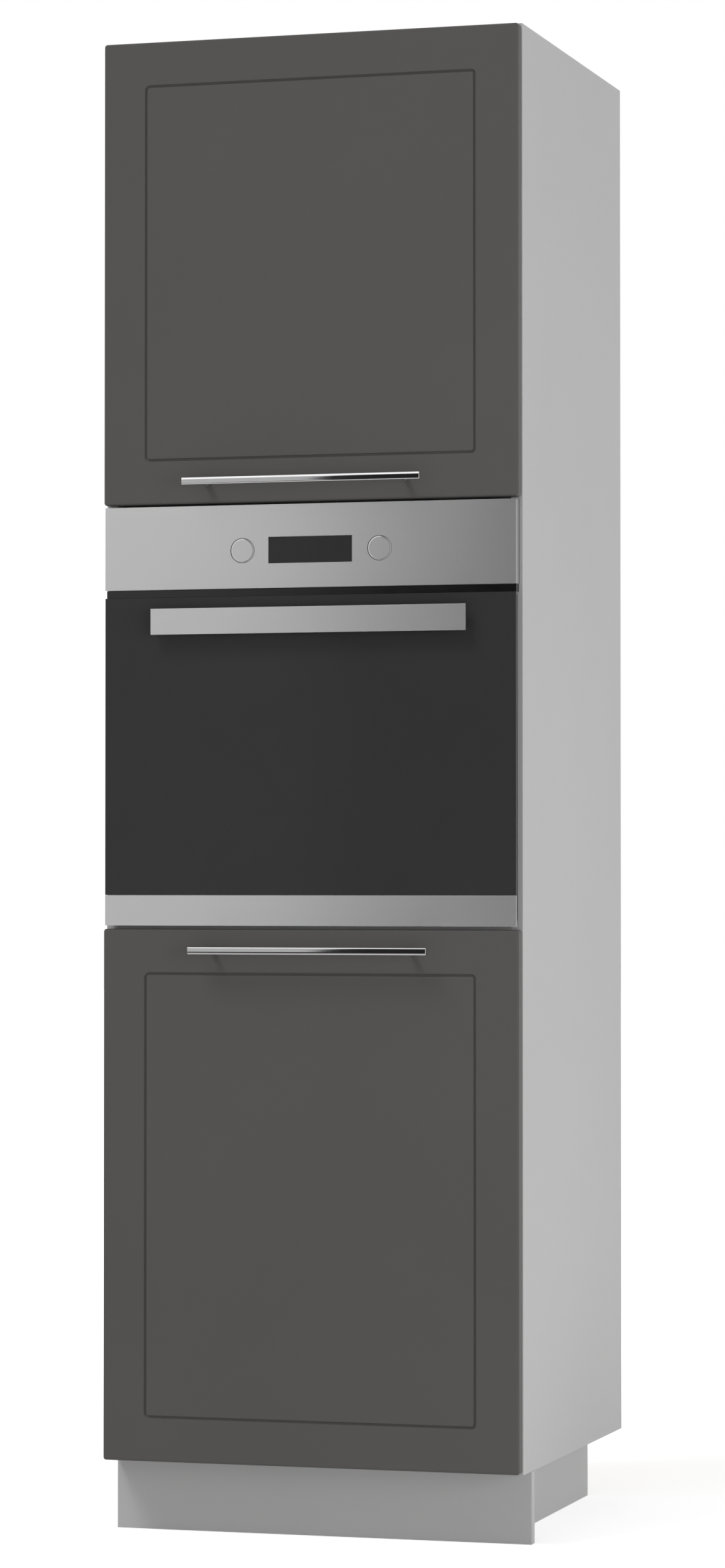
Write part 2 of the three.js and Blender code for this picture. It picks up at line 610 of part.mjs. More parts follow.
/**
 * The frame behind the glass, with its window, the inner glass's ledge, and the hinge notches with their pins.
 * Its lower inner edge is chamfered, so that it clears the side panels as the door drops.
 */
function addOvenDoorFrame() {
  const depth = [frameFront, -DOOR_INNER_GAP];
  const bottom = OVEN_BOTTOM + CLEAR;
  const top = glassTop - FRAME_SIDE_INSET;
  const windowX = frameHalf - FRAME_BAR;
  const windowZ = [bottom + FRAME_BAR, top - FRAME_BAR];
  const solid = block([-frameHalf, frameHalf], depth, [bottom, top]);
  const window = block([-windowX, windowX], [depth[0] - PLAY, depth[1] + PLAY], windowZ);
  const ledge = block(
    around(0, windowX + WINDOW_LEDGE),
    [depth[1] - INNER_GLASS - CLEAR, depth[1] + PLAY],
    [windowZ[0] - WINDOW_LEDGE, windowZ[1] + WINDOW_LEDGE],
  );
  const notches = hingeMiddles.map(({ x }) =>
    block(
      around(x, OVEN_HINGE_BASE / 2 + NOTCH_CLEAR),
      [depth[0] - PLAY, depth[1] + PLAY],
      [bottom - PLAY, ovenPivot.z + 2 * OVEN_HINGE_EYE + NOTCH_CLEAR],
    ),
  );
  const pins = hingeMiddles.map(({ x }) =>
    rodX(OVEN_PIVOT_RADIUS, around(x, OVEN_HINGE_BASE / 2 + 2 * NOTCH_CLEAR), ovenPivot.y, ovenPivot.z),
  );
  const toe = new THREE.Shape();
  toe.moveTo(ovenPivot.y + FRAME_TOE, bottom).lineTo(ovenPivot.y + FRAME_TOE, bottom - PLAY);
  toe.lineTo(depth[1] + PLAY, bottom - PLAY).lineTo(depth[1] + PLAY, ovenPivot.z);
  toe.lineTo(depth[1], ovenPivot.z).closePath();
  const chamfer = profileX(toe, around(0, frameHalf + PLAY));
  add("oven_door_frame", join(cut(solid, window, ledge, chamfer, ...notches), ...pins), blackPlastic);

  const inner = block(
    around(0, windowX + WINDOW_LEDGE - CLEAR),
    [depth[1] - INNER_GLASS, depth[1]],
    [windowZ[0] - WINDOW_LEDGE + CLEAR, windowZ[1] + WINDOW_LEDGE - CLEAR],
  );
  add("oven_door_inner_glass", inner, blackGlass);
}

function addOvenHandle() {
  const z = glassTop - OVEN_HANDLE_FROM_TOP;
  const back = ovenFront - OVEN_HANDLE_STANDOFF;
  const bar = block(
    around(OVEN_HANDLE_MID, OVEN_HANDLE_LENGTH / 2),
    [back - OVEN_HANDLE_THICKNESS, back],
    around(z, OVEN_HANDLE_HEIGHT / 2),
  );
  const postX = OVEN_HANDLE_LENGTH / 2 - OVEN_HANDLE_POST_INSET - OVEN_HANDLE_POST_WIDTH / 2;
  const posts = sides.map(([, sign]) =>
    block(
      around(OVEN_HANDLE_MID + sign * postX, OVEN_HANDLE_POST_WIDTH / 2),
      [back - PLAY, ovenFront - CLEAR],
      around(z, OVEN_HANDLE_POST_HEIGHT / 2),
    ),
  );
  add("oven_handle", join(bar, ...posts), steel);
}

/** The fixed half of an oven hinge: a base on the cavity flange and a lug round the door's pin. */
function addOvenHinges() {
  for (const { side, x } of hingeMiddles) {
    const baseFront = flangeFront - CLEAR - OVEN_HINGE_PLATE;
    const lugHeights = [ovenPivot.z - OVEN_HINGE_EYE, ovenPivot.z + 2 * OVEN_HINGE_EYE];
    const base = block(
      around(x, OVEN_HINGE_BASE / 2),
      [baseFront, flangeFront - CLEAR],
      [lugHeights[0], lugHeights[0] + OVEN_HINGE_BASE_RISE],
    );
    const lugSides = around(x, OVEN_HINGE_PLATE / 2);
    const lug = block(lugSides, [ovenPivot.y, baseFront + PLAY], lugHeights);
    const eye = rodX(OVEN_HINGE_EYE, lugSides, ovenPivot.y, ovenPivot.z);
    const bore = rodX(OVEN_PIVOT_RADIUS + CLEAR, around(x, OVEN_HINGE_PLATE), ovenPivot.y, ovenPivot.z);
    add("oven_hinge_" + side, cut(join(base, lug, eye), bore), zincSteel);
  }
}

// ---- Oven body ----
const cavityHalf = CAVITY_WIDTH / 2;
const mouthX = [-cavityHalf, cavityHalf];
const mouthZ = [cavityFloor, cavityTop];
const cavityBack = flangeFront + CAVITY_DEPTH;

function addCasing() {
  const half = CASING_WIDTH / 2;
  const shell = block([-half, half], [casingFront, casingFront + CASING_DEPTH], [casingBottom, casingTop]);
  const inside = block(
    [-half + CASING_SHEET, half - CASING_SHEET],
    [casingFront - PLAY, casingFront + CASING_DEPTH - CASING_SHEET],
    [casingBottom + CASING_SHEET, casingTop - CASING_SHEET],
  );
  add("oven_casing", cut(shell, inside), zincSteel);
}

function addVentStrip() {
  const strip = block(
    [-ovenHalf + FRAME_SIDE_INSET, ovenHalf - FRAME_SIDE_INSET],
    [ovenFront + VENT_RECESS, -CLEAR],
    [glassTop + CLEAR, panelBottom - CLEAR],
  );
  const rear = block(
    [-CASING_WIDTH / 2, CASING_WIDTH / 2],
    [-CLEAR - PLAY, casingFront - CLEAR],
    [glassTop + CLEAR, panelBottom - CLEAR],
  );
  const tongue = block(
    [-CASING_WIDTH / 2, CASING_WIDTH / 2],
    [casingFront - CLEAR - CASING_SHEET - PLAY, casingFront - CLEAR],
    [panelBottom - PLAY, panelBottom + VENT_OVERLAP],
  );
  add("oven_vent_strip", join(strip, rear, tongue), blackPlastic);
}

const lowestLedge = cavityFloor + LEDGE_FIRST;
const ledges = Array.from({ length: LEDGE_COUNT }, (_, level) => lowestLedge + level * LEDGE_PITCH);

/** The enamelled cavity: a liner open to the front, its flange, and the ledges for racks. */
function addCavity() {
  const wall = CASING_SHEET;
  const mouth = (grow) =>
    frontRect(
      [mouthX[0] - grow, mouthX[1] + grow],
      [mouthZ[0] - grow, mouthZ[1] + grow],
      CAVITY_CORNER + grow,
    );
  const liner = plate(mouth(wall), cavityBack + wall, flangeFront);
  const flange = block(
    [-CASING_WIDTH / 2, CASING_WIDTH / 2],
    [flangeFront, flangeBack],
    [cavityFloor - FLANGE_BELOW, glassTop - CLEAR],
  );
  const hollow = plate(mouth(0), cavityBack, flangeFront - PLAY);
  const rails = ledges.flatMap((z) =>
    sides.map(([, sign]) =>
      block(
        span(sign * (cavityHalf - LEDGE_DEPTH), sign * (cavityHalf + wall / 2)),
        [flangeFront + 2 * CAVITY_CORNER, cavityBack - CAVITY_CORNER],
        [z - LEDGE_HEIGHT, z],
      ),
    ),
  );
  add("oven_cavity", join(cut(join(liner, flange), hollow), ...rails), enamel);
}

function addSeal() {
  const ring = (grow) =>
    frontRect(
      [mouthX[0] - grow, mouthX[1] + grow],
      [mouthZ[0] - grow, mouthZ[1] + grow],
      CAVITY_CORNER + grow,
    );
  const outer = plate(ring(SEAL_FROM_MOUTH + SEAL_WIDTH), flangeFront - CLEAR, -DOOR_INNER_GAP + CLEAR);
  const inner = plate(ring(SEAL_FROM_MOUTH), flangeFront + PLAY, -DOOR_INNER_GAP - PLAY);
  add("oven_door_seal", cut(outer, inner), rubberSeal);
}

/** A wire rack on the ledges of one level. */
function addRack() {
  const z = ledges[RACK_LEVEL] + CLEAR + RACK_FRAME_RADIUS;
  const half = cavityHalf - PLAY - RACK_FRAME_RADIUS;
  const rear = cavityBack - CAVITY_CORNER - RACK_FRAME_RADIUS;
  const front = rear - (CAVITY_DEPTH - RACK_SHORT);
  const steps = SMALL_STEPS / 2;
  const frame = [
    rodX(RACK_FRAME_RADIUS, [-half, half], front, z, steps),
    rodX(RACK_FRAME_RADIUS, [-half, half], rear, z, steps),
    rodY(RACK_FRAME_RADIUS, [front, rear], -half, z, steps),
    rodY(RACK_FRAME_RADIUS, [front, rear], half, z, steps),
  ];
  const corners = [-half, half].flatMap((x) =>
    [front, rear].map((y) => new THREE.SphereGeometry(RACK_FRAME_RADIUS, steps, steps).translate(x, y, z)),
  );
  const wires = Array.from({ length: RACK_WIRES }, (_, i) => {
    const x = -half + ((i + 1) * 2 * half) / (RACK_WIRES + 1);
    return rodY(RACK_WIRE_RADIUS, [front, rear], x, z, steps);
  });
  add("oven_rack", join(...frame, ...corners, ...wires), chrome);
}

/** The fan cover on the cavity's rear wall, with a ring of slots. */
function addFanCover() {
  const z = (cavityFloor + cavityTop) / 2;
  const rear = cavityBack - CLEAR;
  const front = rear - FAN_COVER_DEPTH;
  const disc = rodY(FAN_COVER_RADIUS, [front, rear], 0, z);
  const recess = rodY(FAN_COVER_RADIUS - 2 * CASING_SHEET, [front + CASING_SHEET, rear + PLAY], 0, z);
  const slots = Array.from({ length: FAN_SLOTS }, (_, i) =>
    block(
      [FAN_COVER_RADIUS * 0.35, FAN_COVER_RADIUS * 0.75],
      [front - PLAY, front + 2 * CASING_SHEET],
      around(0, FAN_SLOT_WIDTH / 2),
    )
      .rotateY((i * 2 * Math.PI) / FAN_SLOTS)
      .translate(0, 0, z),
  );
  add("oven_fan_cover", cut(disc, recess, ...slots), enamel);
}

// ---- The whole unit ----
addSidePanels();
addFixedBoards();
addBackBoards();
addLooseShelves();
addLegs();
addPlinth();
addCupboardDoor("upper", upperDoor, UPPER_HANDLE_OFFSET, upperDoor.bottom + HANDLE_FROM_EDGE);
addCupboardDoor("lower", lowerDoor, LOWER_HANDLE_OFFSET, lowerDoor.top - HANDLE_FROM_EDGE);
addControlPanel();
addDisplay();
knobs.forEach(addKnob);
addOvenDoorFace();
addOvenDoorFrame();
addOvenHandle();
addOvenHinges();
addCasing();
addVentStrip();
addCavity();
addSeal();
addRack();
addFanCover();

unit.position.y = -(handleFront + DEPTH) / 2;
export default unit;
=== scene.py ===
"""Tall oven housing unit: the finished look of every piece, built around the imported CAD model."""

import json
import math

import bmesh
import bpy
from mathutils import Matrix, Vector

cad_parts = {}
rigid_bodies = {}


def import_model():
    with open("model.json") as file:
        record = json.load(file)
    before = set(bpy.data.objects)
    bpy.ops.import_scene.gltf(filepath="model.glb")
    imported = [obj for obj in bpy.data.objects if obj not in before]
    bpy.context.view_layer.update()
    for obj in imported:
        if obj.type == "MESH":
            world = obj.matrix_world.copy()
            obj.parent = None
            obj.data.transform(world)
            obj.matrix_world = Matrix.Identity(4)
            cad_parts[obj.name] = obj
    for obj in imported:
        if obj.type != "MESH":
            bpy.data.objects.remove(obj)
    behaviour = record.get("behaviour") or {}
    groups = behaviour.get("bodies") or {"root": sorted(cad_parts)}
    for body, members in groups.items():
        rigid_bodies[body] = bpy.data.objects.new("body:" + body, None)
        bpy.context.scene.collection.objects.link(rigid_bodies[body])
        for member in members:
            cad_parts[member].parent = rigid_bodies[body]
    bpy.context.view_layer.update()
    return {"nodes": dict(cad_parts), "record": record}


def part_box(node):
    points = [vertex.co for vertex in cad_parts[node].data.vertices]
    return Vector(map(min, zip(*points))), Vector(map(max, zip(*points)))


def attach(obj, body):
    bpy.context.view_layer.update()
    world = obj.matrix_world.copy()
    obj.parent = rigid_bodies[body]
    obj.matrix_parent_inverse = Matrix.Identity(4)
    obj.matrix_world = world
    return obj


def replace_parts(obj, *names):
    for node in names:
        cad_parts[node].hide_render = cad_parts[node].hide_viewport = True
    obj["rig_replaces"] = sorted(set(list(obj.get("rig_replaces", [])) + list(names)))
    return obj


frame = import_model()
NODES = frame["nodes"]
BODY_OF = {node: body for body, members in frame["record"]["behaviour"]["bodies"].items() for node in members}
SLOT_OF = {part["node"]: part["material_slot"] for part in frame["record"]["subparts"]}

MM = 0.001

# ---- Camera ----
CAMERA_PLACE = Vector((1.9105, -6.3915, 0.9081))
CAMERA_YAW = 0.2913
CAMERA_PITCH = 0.0206
PHOTO_HEIGHT = 2520
FOCAL_PIXELS = 7481.5
SENSOR = 36.0
CAMERA_REACH = 200.0

# ---- Edges and corners, in metres ----
BOARD_EDGE = 0.6 * MM
SHEET_EDGE = 0.35 * MM
FINE_EDGE = 0.2 * MM
GLASS_EDGE = 0.5 * MM
WELD_DISTANCE = 0.005 * MM
SMOOTH_ANGLE = math.radians(35)
SHARP_ANGLE = math.radians(50)
FLAT_ANGLE = math.radians(0.5)
CORNER_STEPS = 8
FACING = 0.9  # least part of a face's normal along an axis for it to look that way

# ---- Door leaf section, in metres ----
LEAF_CORNER = 4 * MM
LEAF_ROUND = 3 * MM
LEAF_BACK_ROUND = 0.8 * MM
GROOVE_INSET = 60 * MM
GROOVE_WIDTH = 4 * MM
GROOVE_DEPTH = 2.4 * MM
GROOVE_LIP = 0.5 * MM
GROOVE_CORNER = 7 * MM
LEAST_CORNER = 0.5 * MM
LEAF_STEPS = 6
GROOVE_STEPS = 10
CUP_HOLE_CLEAR = 0.3 * MM
CUP_HOLE_SIDES = 64

# ---- Bar handles, in metres ----
BAR_CROWN = 24 * MM
BAR_CORNER = 1.6 * MM
BAR_BACK_EDGE = 0.4 * MM
BAR_END_EDGE = 0.4 * MM
BAR_STEPS = 10
POST_FOOT = 0.6 * MM
POST_SIDES = 40

# ---- Knobs and the sockets in their backs, in metres ----
KNOB_CHAMFER = 1.1 * MM
KNOB_SIDES = 96
SOCKET_RADIUS = 4.3 * MM
SOCKET_CLEAR = 0.3 * MM

# ---- Shelf-pin holes, in metres ----
PIN_HOLE_RADIUS = 2.5 * MM
PIN_HOLE_DEPTH = 10 * MM
PIN_HOLE_STEP = 32 * MM
PIN_HOLE_MARGIN = 90 * MM
PIN_HOLE_SIDES = 16
ARM_CLEAR_UP = 1 * MM
ARM_CLEAR_ALONG = 4 * MM

# ---- Vent strip, in metres ----
VENT_REACH = 2.3 * MM  # how far its ends run on beyond the solid, to just inside the panel's ends

# ---- Shelf under the oven, in metres ----
SHELF_LIP_RISE = 2.2 * MM
SHELF_LIP_THICKNESS = 1.5 * MM

# ---- Studio: metres and radiance ----
FLOOR_SIZE = 60.0
FLOOR_PAINT = 232
FLOOR_SHADE_NEAR = 0.9
FLOOR_SHADE_FAR = 2.6
FLOOR_GLOW = 0.62
WORLD_LEVEL = 0.4
CARD_Y = -8.0
CARD_SPAN_X = (-12.0, 8.0)
CARD_TOP = 20.0
CARD_NEAR_Y = -1.0
CARD_LIFT = 2 * MM
CARD_EDGE = 0.06
CARD_GREY = 0.52
CARD_DARK = 0.02
CARD_BRIGHT = 1.25
CARD_BRIGHT_FROM_Z = 3.5
CARD_DARK_FROM_X = -2.4
CARD_DARK_FROM_X_HIGH = -2.05
CARD_DARK_TO_X = -0.5
CARD_DARK_FADE = 0.6
CARD_FOOT = 1.05
CARD_FOOT_DARK = 0.35
CARD_FOOT_FROM_Y = -3.9

# ---- Lamps: name, place, point it faces, size in metres, watts ----
LAMPS = [
    ("key_softbox", (-8.0, -9.5, 19.0), (0.0, -0.3, 1.1), (8.0, 8.0), 2150.0),
    ("side_softbox", (5.7, -2.9, 0.6), (0.3, 0.0, 0.9), (6.0, 4.0), 236.0),
    ("foot_softbox", (2.6, -0.6, 0.12), (0.25, -0.1, 0.06), (1.6, 0.2), 5.5),
]


def srgb(*levels):
    """Linear colour from 0-255 sRGB levels; one level makes a grey."""
    if len(levels) == 1:
        levels = levels * 3
    linear = [(c / 255 / 12.92) if c <= 10 else ((c / 255 + 0.055) / 1.055) ** 2.4 for c in levels]
    return (*linear, 1.0)


# ---------------------------------------------------------------- materials


class Nodes:
    """A material's node tree with short calls for the nodes used here."""

    def __init__(self, name):
        self.material = bpy.data.materials.new(name)
        self.material.use_nodes = True
        self.tree = self.material.node_tree
        self.shader = self.tree.nodes["Principled BSDF"]
        self.place = self.node("ShaderNodeTexCoord").outputs["Object"]

    def node(self, kind, **inputs):
        made = self.tree.nodes.new(kind)
        for name, value in inputs.items():
            socket = made.inputs[name.replace("_", " ")]
            if isinstance(value, bpy.types.NodeSocket):
                self.tree.links.new(value, socket)
            else:
                socket.default_value = value
        return made

    def link(self, output, socket):
        self.tree.links.new(output, socket)

    def stretched(self, x=1.0, y=1.0, z=1.0):
        return self.node("ShaderNodeMapping", Vector=self.place, Scale=(x, y, z)).outputs["Vector"]

    def noise(self, scale, detail=4.0, roughness=0.55, vector=None):
        made = self.node("ShaderNodeTexNoise", Scale=scale, Detail=detail, Roughness=roughness)
        self.link(vector or self.place, made.inputs["Vector"])
        return made.outputs["Fac"]

    def between(self, factor, low, high):
        """A number that runs from low to high as factor runs from 0 to 1."""
        made = self.node("ShaderNodeMapRange")
        self.link(factor, made.inputs["Value"])
        made.inputs["To Min"].default_value = low
        made.inputs["To Max"].default_value = high
        return made.outputs["Result"]

    def ramp(self, factor, stops):
        """A colour ramp from [(position, colour), ...]."""
        made = self.node("ShaderNodeValToRGB", Fac=factor)
        elements = made.color_ramp.elements
        while len(elements) < len(stops):
            elements.new(0.5)
        for element, (position, colour) in zip(elements, stops):
            element.position = position
            element.color = colour
        return made.outputs["Color"]

    def bump(self, height, strength, distance):
        made = self.node("ShaderNodeBump", Strength=strength, Distance=distance)
        self.link(height, made.inputs["Height"])
        self.link(made.outputs["Normal"], self.shader.inputs["Normal"])

    def set(self, **values):
        for name, value in values.items():
            socket = self.shader.inputs[name.replace("_", " ")]
            if isinstance(value, bpy.types.NodeSocket):
                self.link(value, socket)
            else:
                socket.default_value = value
        return self.material


def tinted(colour, amount):
    """The same colour, lighter or darker by a share."""
    return (*[channel * (1 + amount) for channel in colour[:3]], 1.0)


def door_film():
    """Matt graphite film on milled fibreboard: a very fine leathery grain and faint cloudiness."""
    n = Nodes("door_film")
    grain = n.noise(1400.0, 3.0, 0.6)
    cloud = n.noise(3.5, 3.0, 0.5)
    base = srgb(86, 85, 83)
    colour = n.ramp(cloud, [(0.3, tinted(base, -0.02)), (0.7, tinted(base, 0.02))])
    n.bump(grain, 0.25, 0.00012)
    return n.set(Base_Color=colour, Roughness=n.between(grain, 0.46, 0.6), Specular_IOR_Level=0.12)


def board_face(name, level, grain_strength=0.15):
    """Melamine-faced board: flat colour broken by a fine pearl texture."""
    n = Nodes(name)
    pearl = n.noise(900.0, 2.0, 0.5)
    cloud = n.noise(2.2, 2.0, 0.5)
    base = srgb(*level)
    colour = n.ramp(cloud, [(0.3, tinted(base, -0.02)), (0.7, tinted(base, 0.02))])
    n.bump(pearl, grain_strength, 0.0001)
    return n.set(Base_Color=colour, Roughness=n.between(pearl, 0.45, 0.6), Specular_IOR_Level=0.35)


def brushed_steel(name="brushed_steel", level=221):
    """Stainless steel brushed along X, so that highlights spread across the brushing."""
    n = Nodes(name)
    long_lines = n.noise(1.0, 3.0, 0.6, n.stretched(7.0, 3800.0, 3800.0))
    short_lines = n.noise(1.0, 2.0, 0.5, n.stretched(60.0, 6500.0, 6500.0))
    base = srgb(level)
    colour = n.ramp(long_lines, [(0.25, tinted(base, -0.025)), (0.75, tinted(base, 0.025))])
    n.bump(short_lines, 0.04, 0.00001)
    across = n.node("ShaderNodeTangent")
    across.direction_type = "RADIAL"
    across.axis = "X"
    return n.set(
        Base_Color=colour,
        Metallic=1.0,
        Roughness=n.between(long_lines, 0.255, 0.28),
        Anisotropic=1.0,
        Tangent=across.outputs["Tangent"],
    )


def steel_edge():
    """The cut and folded sides of the steel fronts, duller than their brushed faces."""
    n = Nodes("steel_edge")
    drag = n.noise(1.0, 3.0, 0.6, n.stretched(900.0, 900.0, 60.0))
    base = srgb(150)
    colour = n.ramp(drag, [(0.3, tinted(base, -0.05)), (0.7, tinted(base, 0.05))])
    return n.set(Base_Color=colour, Metallic=1.0, Roughness=n.between(drag, 0.4, 0.5))


def chrome_plate():
    """Polished chrome with a trace of handling haze."""
    n = Nodes("chrome_plate")
    haze = n.noise(60.0, 5.0, 0.6)
    return n.set(Base_Color=n.ramp(haze, [(0.3, srgb(222)), (0.8, srgb(228))]), Metallic=1.0,
                 Roughness=n.between(haze, 0.02, 0.06))


def plated_steel():
    """Bright zinc or nickel plate on pressed hinge parts."""
    n = Nodes("plated_steel")
    spangle = n.noise(220.0, 3.0, 0.5)
    base = srgb(190, 192, 194)
    colour = n.ramp(spangle, [(0.3, tinted(base, -0.08)), (0.7, tinted(base, 0.05))])
    n.bump(spangle, 0.05, 0.00005)
    return n.set(Base_Color=colour, Metallic=1.0, Roughness=n.between(spangle, 0.25, 0.4))


def galvanised_sheet():
    """Galvanised sheet of the oven's casing, with broad zinc spangles."""
    n = Nodes("galvanised_sheet")
    cells = n.node("ShaderNodeTexVoronoi", Scale=70.0)
    n.link(n.place, cells.inputs["Vector"])
    spangle = n.node("ShaderNodeSeparateColor", Color=cells.outputs["Color"]).outputs["Red"]
    base = srgb(172, 175, 178)
    colour = n.ramp(spangle, [(0.0, tinted(base, -0.12)), (1.0, tinted(base, 0.08))])
    return n.set(Base_Color=colour, Metallic=1.0, Roughness=n.between(spangle, 0.32, 0.5))


def black_glass(name="black_glass", level=54):
    """Back-printed black glass: dark base under a hard clear surface."""
    n = Nodes(name)
    smear = n.noise(9.0, 4.0, 0.6)
    base = srgb(level)
    colour = n.ramp(smear, [(0.3, tinted(base, -0.03)), (0.7, tinted(base, 0.03))])
    return n.set(Base_Color=colour, Roughness=n.between(smear, 0.06, 0.12), Specular_IOR_Level=0.12)


def matt_plastic(name, level, scale=700.0):
    """Moulded plastic with a fine spark-eroded grain."""
    n = Nodes(name)
    grain = n.noise(scale, 3.0, 0.6)
    base = srgb(level)
    colour = n.ramp(grain, [(0.3, tinted(base, -0.08)), (0.7, tinted(base, 0.08))])
    n.bump(grain, 0.3, 0.0001)
    return n.set(Base_Color=colour, Roughness=n.between(grain, 0.45, 0.62))


def gloss_plastic():
    """Glossy black moulding with a trace of flow waviness."""
    n = Nodes("gloss_plastic")
    waves = n.noise(40.0, 2.0, 0.5)
    colour = n.ramp(waves, [(0.3, srgb(12)), (0.7, srgb(16))])
    n.bump(waves, 0.02, 0.0002)
    return n.set(Base_Color=colour, Roughness=n.between(waves, 0.12, 0.2), Specular_IOR_Level=0.8)


def post_metal_painted_darker():
    """Satin metal of the handle posts, kept much darker than the chrome bars: painted shade standing in for the shade
    they sit in between bar and door; the turned lines are the metal's own.
    """
    n = Nodes("post_metal_painted_darker")
    turned_lines = n.noise(1.0, 3.0, 0.6, n.stretched(300.0, 4000.0, 300.0))
    return n.set(Base_Color=n.ramp(turned_lines, [(0.3, srgb(112)), (0.7, srgb(128))]), Metallic=1.0,
                 Roughness=n.between(turned_lines, 0.22, 0.3))


def speckled_enamel():
    """Dark vitreous enamel with pale specks."""
    n = Nodes("speckled_enamel")
    specks = n.noise(900.0, 1.0, 0.4)
    waves = n.noise(25.0, 2.0, 0.5)
    colour = n.ramp(specks, [(0.62, srgb(44, 46, 50)), (0.7, srgb(120, 124, 130))])
    n.bump(waves, 0.05, 0.0004)
    return n.set(Base_Color=colour, Roughness=n.between(waves, 0.12, 0.22), Specular_IOR_Level=0.5)


def chipboard():
    """Raw chipboard: pale and brown flakes pressed together."""
    n = Nodes("chipboard")
    flakes = n.node("ShaderNodeTexVoronoi", Scale=1.0)
    n.link(n.stretched(260.0, 260.0, 700.0), flakes.inputs["Vector"])
    shade = n.node("ShaderNodeSeparateColor", Color=flakes.outputs["Color"]).outputs["Red"]
    colour = n.ramp(shade, [(0.0, srgb(126, 98, 66)), (0.5, srgb(170, 138, 98)), (1.0, srgb(196, 168, 126))])
    n.bump(shade, 0.4, 0.0003)
    return n.set(Base_Color=colour, Roughness=0.85, Specular_IOR_Level=0.2)


def hardboard():
    """The bare brown rear face of the back boards."""
    n = Nodes("hardboard")
    fibres = n.noise(180.0, 4.0, 0.7)
    colour = n.ramp(fibres, [(0.3, srgb(156, 128, 98)), (0.7, srgb(172, 144, 112))])
    n.bump(fibres, 0.2, 0.0002)
    return n.set(Base_Color=colour, Roughness=0.75, Specular_IOR_Level=0.25)


def seal_rubber():
    n = Nodes("seal_rubber")
    grain = n.noise(500.0, 2.0, 0.5)
    colour = n.ramp(grain, [(0.3, srgb(46)), (0.7, srgb(56))])
    return n.set(Base_Color=colour, Roughness=n.between(grain, 0.6, 0.8))


FINISHES = {
    "carcass_board": board_face("carcass_board", (178, 178, 178)),
    "back_board": board_face("back_board", (205, 205, 203), 0.3),
    "plinth_board": board_face("plinth_board", (178, 178, 178)),
    "door_board": door_film(),
    "chrome": chrome_plate(),
    "steel": brushed_steel(),
    "black_glass": black_glass(),
    "black_plastic": matt_plastic("black_plastic", 26),
    "zinc_steel": plated_steel(),
    "enamel": speckled_enamel(),
    "leg_plastic": matt_plastic("leg_plastic", 30, 400.0),
    "seal_rubber": seal_rubber(),
}
NODE_FINISHES = {
    "oven_casing": galvanised_sheet(),
    "control_display": black_glass("display_glass", 50),
    # The trim is the same steel as the panel; its lighter level (227 against 221) is painted light, making up for the
    # dimmer reflections the trim picks up.
    "oven_door_trim": brushed_steel("brushed_steel_painted_lighter_trim", 227),
}
VENT_FINISH = gloss_plastic()
POST_FINISH = post_metal_painted_darker()

# Faces of a slot's pieces that have another finish: which way they look, and the finish.
OTHER_FACES = {
    "steel": (lambda normal: abs(normal.x) > FACING, steel_edge()),
    "carcass_board": (lambda normal: normal.y > FACING, chipboard()),
    "back_board": (lambda normal: normal.y > FACING, hardboard()),
}


# ---------------------------------------------------------------- making pieces


def smooth_by_angle(mesh):
    for polygon in mesh.polygons:
        polygon.use_smooth = True
    mesh.set_sharp_from_angle(angle=SMOOTH_ANGLE)


def add_weighted_normals(made):
    """Keeps broad flat faces flat in their shading beside their rounded edges."""
    modifier = made.modifiers.new("weighted_normals", "WEIGHTED_NORMAL")
    modifier.keep_sharp = True
    modifier.weight = 100


def piece(name, mesh, node, material=None):
    """A visible object for a mesh, standing for one CAD node and riding on its body."""
    smooth_by_angle(mesh)
    made = bpy.data.objects.new(name, mesh)
    bpy.context.scene.collection.objects.link(made)
    mesh.materials.clear()
    mesh.materials.append(material or FINISHES[SLOT_OF[node]])
    if SLOT_OF[node] in OTHER_FACES:
        is_other, finish = OTHER_FACES[SLOT_OF[node]]
        mesh.materials.append(finish)
        for polygon in mesh.polygons:
            polygon.material_index = int(is_other(polygon.normal))
    add_weighted_normals(made)
    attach(made, BODY_OF[node])
    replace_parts(made, node)
    return made


def finished_mesh(build, name):
    """A new mesh from a bmesh, which is freed."""
    bmesh.ops.recalc_face_normals(build, faces=build.faces)
    mesh = bpy.data.meshes.new(name)
    build.to_mesh(mesh)
    build.free()
    return mesh


def welded_bmesh(node):
    """The CAD node's surface, with corners that lie together made one."""
    build = bmesh.new()
    build.from_mesh(NODES[node].data)
    bmesh.ops.remove_doubles(build, verts=build.verts, dist=WELD_DISTANCE)
    return build


def cad_bmesh(node):
    """The CAD node's surface with its triangles joined into flat faces."""
    build = welded_bmesh(node)
    bmesh.ops.dissolve_limit(build, angle_limit=FLAT_ANGLE, verts=build.verts, edges=build.edges)
    return build


def soften(build, width):
    """Rounds the sharp outer edges of a bmesh; inner corners stay as they are, so nothing is filled in."""
    bmesh.ops.recalc_face_normals(build, faces=build.faces)
    sharp = [e for e in build.edges if e.is_manifold and e.is_convex and e.calc_face_angle(0.0) > SHARP_ANGLE]
    bmesh.ops.bevel(
        build, geom=sharp, offset=width, segments=2, profile=0.5, affect="EDGES", clamp_overlap=True
    )


def refined(node, width, material=None):
    """A CAD node's form again, with its edges rounded as the real piece's are."""
    build = cad_bmesh(node)
    soften(build, width)
    name = node + "_finish"
    return piece(name, finished_mesh(build, name), node, material)


def unrounded(node):
    """A CAD node's form again as it is, for the hinge parts that work a hair apart."""
    name = node + "_finish"
    return piece(name, finished_mesh(welded_bmesh(node), name), node)


